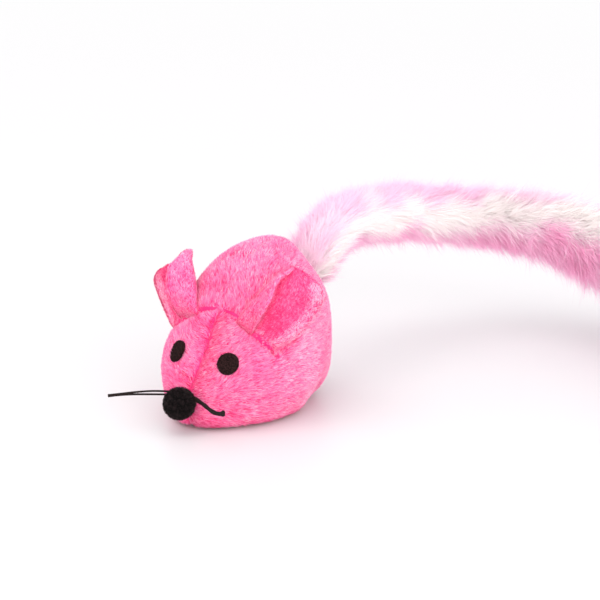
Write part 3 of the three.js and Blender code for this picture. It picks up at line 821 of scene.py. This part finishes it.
def thread(name, material, path, radii, turns=12):
    """A tube along a line of points, thicker or thinner where its radii say."""
    line = bpy.data.curves.new(name, "CURVE")
    line.dimensions = "3D"
    line.bevel_depth, line.bevel_resolution, line.use_fill_caps = 1, turns // 4, True
    spline_points = line.splines.new("POLY")
    spline_points.points.add(len(path) - 1)
    for point, spot, radius in zip(spline_points.points, path, radii):
        point.co, point.radius = (*spot, 1), radius
    tube = bpy.data.objects.new(name, line)
    mesh = bpy.data.meshes.new_from_object(tube)
    bpy.data.objects.remove(tube)
    mesh.name = name
    mesh.materials.clear()
    mesh.materials.append(material)
    mesh.shade_smooth()
    made = bpy.data.objects.new(name, mesh)
    bpy.context.scene.collection.objects.link(made)
    return made


whisker_start = np.array([6.4, -38, 13.4]) * mm
whisker_length, whisker_angle, whisker_sink = 24 * mm, math.radians(27), 2 * mm
for side, mirror in (("left", 1), ("right", -1)):
    for level, lift in (("upper", 1), ("lower", -1)):
        t = np.linspace(0, 1, 40)
        out, ahead = math.cos(whisker_angle), -math.sin(whisker_angle)
        reach = whisker_length * t
        if side == "left":
            wave, drop, spread = 0.7 * np.sin(6.5 * t + 0.4) * t, 1.5 * t ** 8 - 0.4 * t, 0.38 + 0 * t
            radii = 0.38 + 0.14 * np.sin(11 * t) ** 2 + 0.3 * np.exp(-((1 - t) * 24 / 0.8) ** 2)
        else:
            wave, drop, spread = 0.2 * np.sin(5 * t + lift), -2.2 * t ** 2, 0.42 + 0.2 * np.sin(5 * t)
            radii = np.full(40, 0.36)
        path = np.stack([mirror * (whisker_start[0] - whisker_sink + reach * out - wave * mm * ahead),
                         whisker_start[1] + reach * ahead + wave * mm * out,
                         whisker_start[2] + (drop + lift * spread) * mm], 1)
        radii = radii * mm
        whisker = thread(f"whisker_thread_{side}_{level}", waxed, path, radii)
        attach(whisker, f"whiskers_{side}")
        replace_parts(whisker, f"whisker_{side}_{level}")

# %% [markdown]
# ## Seam stitches
#
# Where the pile parts over a seam, short stitches of pink polyester thread show. They are sunk
# as deep as the groove and lie along the seam.

# %% Stitches
sewing, shader = new_material("polyester_sewing_thread_pink")
place = add(sewing, "TexCoord").outputs["Object"]
twist = add(sewing, "TexWave", Vector=place, Scale=1 / (1.2 * mm), Distortion=1.0).outputs["Fac"]
plug(sewing, shader.inputs["Base Color"], ramp(sewing, twist, [(0.2, "A81040"), (0.8, "CC2C62")]))
shader.inputs["Roughness"].default_value = 0.5


def stitches(name, line, pitch, share):
    """Short threads along a line of points, as one mesh."""
    steps = np.concatenate([[0], np.cumsum(np.linalg.norm(np.diff(line, axis=0), axis=1))])
    bm = bmesh.new()
    for start in np.arange(0, steps[-1] - pitch, pitch):
        run = np.linspace(start, start + share * pitch, 5)
        path = np.stack([np.interp(run, steps, line[:, k]) for k in range(3)], 1)
        spot = thread("stitch", sewing, path, np.array([0.5, 1, 1, 1, 0.5]) * 0.22 * mm, 4)
        bm.from_mesh(spot.data)
        bpy.data.objects.remove(spot)
    made = finish_mesh(bm, name, sewing)
    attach(made, "mouse")
    return made


def seam_bottom(along, around, side=1):
    """A line on the body, moved in to where the cloth lies in the seam."""
    line, out = body_point(along, around), body_normal(along, around)
    return (line + out * (cloth_relief(line) - pile_depth)[:, None]) * [side, 1, 1]


run = np.linspace(0.03, 0.97, 160)
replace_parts(stitches("centre_stitches", seam_bottom(run, 0 * run), 2.6 * mm, 0.8), "centre_seam_thread")
for side, mirror in (("left", 1), ("right", -1)):
    line = seam_bottom(smooth(dart_shares[:, 0], dart_steps), smooth(dart_shares[:, 1], dart_steps), mirror)
    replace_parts(stitches(f"dart_stitches_{side}", line, 2.4 * mm, 0.85), f"ear_seam_thread_{side}")
edge = np.array([v.co for v in panels["base_panel_cloth"].data.vertices])
edge = edge[edge[:, 2] > base_level - 0.01 * mm]
edge = edge[np.argsort(np.arctan2(edge[:, 1], edge[:, 0]))] * [0.99, 0.99, 1]
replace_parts(stitches("base_stitches", edge, 2.6 * mm, 0.75), "base_seam_thread")

# %% [markdown]
# ## The tail's line
#
# The tail is a fur tube of 25 cm. It rises from the rump, arches over and comes down to the
# floor. The solid has a bend between each two of its sections, so the fur is made in seven
# pieces that each cross one bend, and meet halfway between bends where nothing turns.

# %% The tail's line
tail_radius, tail_length, tail_stub, tail_pitch = 10 * mm, 254 * mm, 16 * mm, 34 * mm
tail_start, tail_arch = 34 * mm, 44 * mm
route_shares = np.array([
    [0, 0, 0.716], [-0.008, 0.059, 0.947], [-0.02, 0.122, 1.007], [-0.022, 0.189, 0.978],
    [-0.008, 0.276, 0.904], [0.038, 0.341, 0.841], [0.103, 0.375, 0.802], [0.159, 0.396, 0.752],
    [0.221, 0.409, 0.652], [0.287, 0.413, 0.531], [0.354, 0.406, 0.391], [0.417, 0.386, 0.247],
    [0.476, 0.358, 0.123], [0.528, 0.319, 0.043], [0.571, 0.272, 0], [0.606, 0.22, 0]])
swell_shares = [0.9, 0.96, 1, 0.98, 1.06, 1.18, 1.22, 1.18, 1.1, 0.94]
steps = np.linspace(0, 1, len(route_shares))
route = np.stack([tail_length * route_shares[:, 0], tail_start + tail_length * route_shares[:, 1],
                  tail_radius * smooth(swell_shares, steps) - 0.5 * mm + tail_arch * route_shares[:, 2]], 1)
fine = spline(route, np.linspace(0, 1, 4000))
runs = np.concatenate([[0], np.cumsum(np.linalg.norm(np.diff(fine, axis=0), axis=1))])
tail_end = tail_length + 5 * mm
print("tail line:", round(runs[-1] / mm, 1), "mm")


def tail_frame(run):
    """Places on the tail's line, with the heading, sideways and upward directions there."""
    def at(r):
        return np.stack([np.interp(r, runs, fine[:, k]) for k in range(3)], -1)
    heading = unit(at(run + 1.5 * mm) - at(run - 1.5 * mm))
    across = unit(np.cross(heading, up))
    return at(run), heading, across, np.cross(across, heading)


def tail_thickness(run):
    """The share of the full thickness, which closes to a dome at the far end."""
    left = np.clip((tail_end - run) / (5 * mm), 0, 1)
    return smooth(swell_shares, run / tail_length) * np.sqrt(1 - (1 - left) ** 2)


# %% [markdown]
# ## Long-pile fur
#
# Acrylic fur fabric with a pile of 8 to 15 mm, sewn to a tube with the nap towards the far end.
# Its stripes are dyed round the fabric, so on the tube they run lengthwise: pale lilac on top,
# cream towards the front and a stronger pink below, and they turn slowly round the tail. Long
# fibres stick together in pointed tufts. Each hair reads its stripe as one number. Light goes
# through such thin fibres, so the shader is mixed with a translucent one.

# %% Fur material
fur, shader = new_material("long_pile_acrylic_fur")
stripe = add(fur, "Attribute", {"attribute_name": "stripe"}).outputs["Fac"]
shade = add(fur, "Attribute", {"attribute_name": "shade"}).outputs["Fac"]
tip = add(fur, "Attribute", {"attribute_name": "tip"}).outputs["Fac"]
dyes = ramp(fur, stripe, [(0.06, "FDDEF0"), (0.35, "FFFBFA"), (0.62, "FFFCFA"), (0.8, "FFE6F3"),
                          (0.95, "FFCFE9")])
# Slightly deeper towards the roots: painted shade deep in the fur.
depth = add(fur, "Math", {"operation": "MULTIPLY_ADD"}, i0=shade, i1=0.35, i2=tip).outputs[0]
light = ramp(fur, depth, [(0.0, "FCF4F8"), (0.5, "FEFCFD"), (1.0, "FFFFFF")])
mixed = add(fur, "Mix", {"data_type": "RGBA", "blend_type": "MULTIPLY"}, Factor=1.0)
plug(fur, mixed.inputs[6], dyes)
plug(fur, mixed.inputs[7], light)
plug(fur, shader.inputs["Base Color"], mixed.outputs[2])
cloth_surface(shader, 0.6, 0.2, "FFF4F8", 0.3)
through = add(fur, "BsdfTranslucent", Color=mixed.outputs[2])
fibre_mix = add(fur, "MixShader", Fac=0.4)
plug(fur, fibre_mix.inputs[1], shader.outputs["BSDF"])
plug(fur, fibre_mix.inputs[2], through.outputs["BSDF"])
plug(fur, fur.node_tree.nodes["Material Output"].inputs["Surface"], fibre_mix.outputs["Shader"])


# Where the lilac ends and the cream ends: millimetres along the tail, degrees round it from its top.
# Up to 151 mm they were worked out from where the stripes' edges were seen to cross the tail in the
# photograph, but the first five lilac angles were chosen. Beyond it all are guessed.
lilac_ends = np.array([
    [0, 60], [20, 58], [30, 60], [40, 66], [50, 68], [60, 72], [66, 49], [72, 44], [80, 74], [86, 55],
    [92, 36], [98, 52], [104, 48], [108, 21], [113, 7], [122, 33], [130, 27], [135, 3], [150, -28],
    [170, -10], [185, -30], [210, -20], [230, -45], [266, -50]])
cream_ends = np.array([
    [0, 97], [30, 111], [40, 121], [60, 131], [68, 106], [75, 106], [80, 127], [90, 130], [96, 103],
    [100, 116], [104, 103], [112, 92], [117, 82], [120, 89], [126, 86], [131, 68], [136, 54], [141, 56],
    [146, 72], [151, 68], [165, 50], [185, 62], [205, 40], [230, 45], [266, 30]])
# A hair leans onward, so its colour shows some millimetres beyond its root. The lilac covers so many
# degrees of the tail.
colour_shift, lilac_width = 7, 110


def stripe_at(run, turn, rng):
    """0 is lilac, 0.5 cream and 1 pink, by the angle round the tail from its top."""
    place = run / mm + colour_shift
    lilac_end = np.interp(place, *lilac_ends.T)
    cream_end = np.interp(place, *cream_ends.T)
    angle = (np.degrees(turn) + rng.normal(0, 6, len(run)) - lilac_end + lilac_width) % 360
    cream = lilac_width + cream_end - lilac_end
    dyed = 0.5 / (1 + np.exp((lilac_width - angle) / 4)) + 0.5 / (1 + np.exp((cream - angle) / 4))
    spots = np.stack([run, 8 * mm * np.cos(turn), 8 * mm * np.sin(turn)], 1)
    return 0.5 + (dyed - 0.5) * np.clip(0.92 + 0.1 * wander(spots, 5 * mm, rng), 0.45, 1)


# %% Tail cores and fur
knit, shader = new_material("fur_fabric_knit_backing")
place = add(knit, "TexCoord").outputs["Object"]
loops = add(knit, "TexVoronoi", Vector=place, Scale=1 / (0.9 * mm)).outputs["Distance"]
patches = mottled(knit, 1 / (12 * mm))
plug(knit, shader.inputs["Base Color"], ramp(knit, patches, [(0.3, "F6DFEA"), (0.7, "FCF0F5")]))
plug(knit, shader.inputs["Normal"],
     add(knit, "Bump", Height=loops, Strength=0.5, Distance=0.4 * mm).outputs["Normal"])
cloth_surface(shader, 0.95, 0.1, "FFE6F0")
core_share = 0.56


def tail_core(name, first, last):
    bm = bmesh.new()
    rows, sides = 34, 36
    bmesh.ops.create_cone(bm, cap_ends=True, segments=sides, radius1=1, radius2=1, depth=1)
    walls = [e for e in bm.edges if abs(e.verts[0].co.z - e.verts[1].co.z) > 0.5]
    bmesh.ops.subdivide_edges(bm, edges=walls, cuts=rows)
    flat = np.array([v.co for v in bm.verts])
    run = first + (flat[:, 2] + 0.5) * (last - first)
    run = np.minimum(run, tail_end - 0.3 * mm)
    centre, _, across, over = tail_frame(run)
    radius = (core_share * tail_radius * tail_thickness(run))[:, None]
    places = centre + radius * (flat[:, :1] * across + flat[:, 1:2] * over)
    for vertex, spot in zip(bm.verts, places):
        vertex.co = spot
    bmesh.ops.recalc_face_normals(bm, faces=bm.faces)
    return finish_mesh(bm, name, knit)


def tail_fur(name, first, last, count, rng):
    run = rng.uniform(first, last, count)
    turn = rng.uniform(-np.pi, np.pi, count)
    centre, heading, across, over = tail_frame(run)
    out = np.sin(turn)[:, None] * across + np.cos(turn)[:, None] * over
    thick = tail_thickness(run)
    roots = centre + out * (core_share * tail_radius * thick - 0.2 * mm)[:, None]
    reach = np.interp(run / mm, [0, 40, 75, 105, 125, 145, 180, 259],
                      [8.2, 9.8, 10.8, 11.4, 13.5, 15.5, 14.8, 14])
    length = reach * (rng.uniform(0.7, 1.1, count) + 0.3 * (rng.uniform(0, 1, count) < 0.1)) * mm
    sway = rng.normal(0, 0.3, count)[:, None]
    flow = unit(heading + np.cross(heading, out) * sway)
    end = np.clip((run - tail_end + 9 * mm) / (9 * mm), 0, 1)
    return coat(name, fur, roots, out, flow, length, rng.uniform(0.12, 0.2, count) * mm,
                rng.normal(0.8, 0.16, count) * (1 - 0.4 * end), rng.normal(0.6, 0.18, count), rng,
                rows=3, twist=0.9, fall=0.05, gather=0.55, stray=0.25, tufts=count // 70,
                marks={"stripe": stripe_at(run, turn, rng)}, floor=0.2 * mm)


bend_reach = 12 * mm
bends = tail_stub + tail_pitch * np.arange(7)
edges = np.concatenate([[0], bends[:-1] + tail_pitch / 2, [tail_end]])
joints = [("mouse", "tail_1")] + [(f"tail_{k}", f"tail_{k + 1}") for k in range(1, 7)]
nodes = [["tail_root"]] + [[f"tail_section_{k}"] for k in range(1, 6)]
nodes += [["tail_section_6", "tail_section_7"]]
for k, (body_a, body_b) in enumerate(joints):
    pivot, heading, _, _ = tail_frame(np.array([bends[k]]))
    start, end = pivot[0] - bend_reach * heading[0], pivot[0] + bend_reach * heading[0]
    core = tail_core(f"tail_core_{k + 1}", edges[k], edges[k + 1])
    count = int(15 * 2 * np.pi * core_share * tail_radius / mm * (edges[k + 1] - edges[k]) / mm)
    coat_piece = tail_fur(f"tail_fur_{k + 1}", edges[k], edges[k + 1], count, rng)
    for piece in (core, coat_piece):
        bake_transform(piece)
    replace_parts(core, *nodes[k])

# %% [markdown]
# ## Filling
#
# The filling can't be seen, but whoever opens the toy finds it. It follows the skin from within,
# clear of the bottoms of the seams, and has the look of loose polyester fibre.

# %% Filling
fibre, shader = new_material("polyester_fibre_filling")
tangle = mottled(fibre, 1 / (1.5 * mm), 8.0)
plug(fibre, shader.inputs["Base Color"], ramp(fibre, tangle, [(0.3, "E9E6E2"), (0.7, "FBFAF8")]))
plug(fibre, shader.inputs["Normal"],
     add(fibre, "Bump", Height=tangle, Strength=0.8, Distance=0.8 * mm).outputs["Normal"])
cloth_surface(shader, 0.95, 0.3, "FFFFFF")
filling = finish_mesh(body_skin(3.2 * mm, 1.6 * mm), "fibre_filling", fibre)
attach(filling, "mouse")
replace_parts(filling, "body_stuffing")

# %% [markdown]
# ## Floor, light and camera
#
# The toy stands on white paper under large soft lamps, so its shadow is faint and pink from the
# plush's own bounce. The paper fades into the white backdrop with distance. The backdrop is white
# only to the camera and to reflections, so it adds no light of its own.

# %% Floor
paper, shader = new_material("matt_white_paper")
place = add(paper, "TexCoord").outputs["Object"]
distance = add(paper, "VectorMath", {"operation": "LENGTH"}, i0=place).outputs["Value"]
shader.inputs["Base Color"].default_value = linear("D9D7D9")
shader.inputs["Roughness"].default_value = 0.4
shader.inputs["Specular IOR Level"].default_value = 0.5
white = add(paper, "Emission", Strength=1.0)
fade = add(paper, "MapRange", {"interpolation_type": "SMOOTHSTEP"}, Value=distance)
for socket, value in ((1, 0.25), (2, 0.9)):
    fade.inputs[socket].default_value = value
sight = add(paper, "LightPath")
seen = add(paper, "Math", {"operation": "MULTIPLY"}, i0=fade.outputs["Result"],
           i1=sight.outputs["Is Camera Ray"]).outputs[0]
both = add(paper, "MixShader", Fac=seen)
plug(paper, both.inputs[1], shader.outputs["BSDF"])
plug(paper, both.inputs[2], white.outputs["Emission"])
plug(paper, paper.node_tree.nodes["Material Output"].inputs["Surface"], both.outputs["Shader"])
bm = bmesh.new()
bmesh.ops.create_circle(bm, cap_ends=True, segments=96, radius=6)
floor = finish_mesh(bm, "floor_paper", paper)

# %% Light
world = bpy.data.worlds.new("soft_studio")
bpy.context.scene.world = world
world.use_nodes = True
tree = world.node_tree
fill = tree.nodes["Background"]
fill.inputs["Color"].default_value = linear("FFFFFF")
fill.inputs["Strength"].default_value = 1.22
backdrop = tree.nodes.new("ShaderNodeBackground")
backdrop.inputs["Color"].default_value = linear("FFFFFF")
sight = tree.nodes.new("ShaderNodeLightPath")
either = tree.nodes.new("ShaderNodeMath")
either.operation = "MAXIMUM"
third = tree.nodes.new("ShaderNodeMath")
third.operation = "MAXIMUM"
mix = tree.nodes.new("ShaderNodeMixShader")
tree.links.new(sight.outputs["Is Camera Ray"], either.inputs[0])
tree.links.new(sight.outputs["Is Glossy Ray"], either.inputs[1])
tree.links.new(either.outputs[0], third.inputs[0])
tree.links.new(sight.outputs["Is Transmission Ray"], third.inputs[1])
tree.links.new(third.outputs[0], mix.inputs["Fac"])
tree.links.new(fill.outputs[0], mix.inputs[1])
tree.links.new(backdrop.outputs[0], mix.inputs[2])
tree.links.new(mix.outputs[0], tree.nodes["World Output"].inputs["Surface"])


def lamp(name, place, size, power):
    light = bpy.data.lights.new(name, "AREA")
    light.shape, light.size, light.energy = "DISK", size, power
    made = bpy.data.objects.new(name, light)
    made.location = place
    made.rotation_euler = (-Vector(place)).to_track_quat("-Z", "Y").to_euler()
    made.visible_camera = False
    bpy.context.scene.collection.objects.link(made)


lamp("key_softbox", (-0.3, -0.6, 1.5), 1.3, 7)
lamp("side_softbox", (1.15, -0.45, 0.5), 1.1, 7)
lamp("front_softbox", (0.42, -0.75, 0.16), 0.45, 2.6)

# %% Camera
azimuth, elevation = math.radians(37.3), math.radians(18)
back = Vector((math.sin(azimuth) * math.cos(elevation), -math.cos(azimuth) * math.cos(elevation),
               math.sin(elevation)))
right = Vector((math.cos(azimuth), math.sin(azimuth), 0))
above = back.cross(right)
camera = bpy.data.objects.new("camera", bpy.data.cameras.new("camera"))
camera.location = 1640 * mm * back
aim = back - 0.011587 * right - 0.023219 * above
camera.rotation_euler = aim.to_track_quat("Z", "Y").to_euler()
camera.data.lens = 270.3
camera.data.clip_start, camera.data.clip_end = 0.1, 30
bpy.context.scene.collection.objects.link(camera)
bpy.context.scene.camera = camera
bpy.context.scene.view_settings.view_transform = "Standard"
print("camera at", [round(x, 3) for x in camera.location])
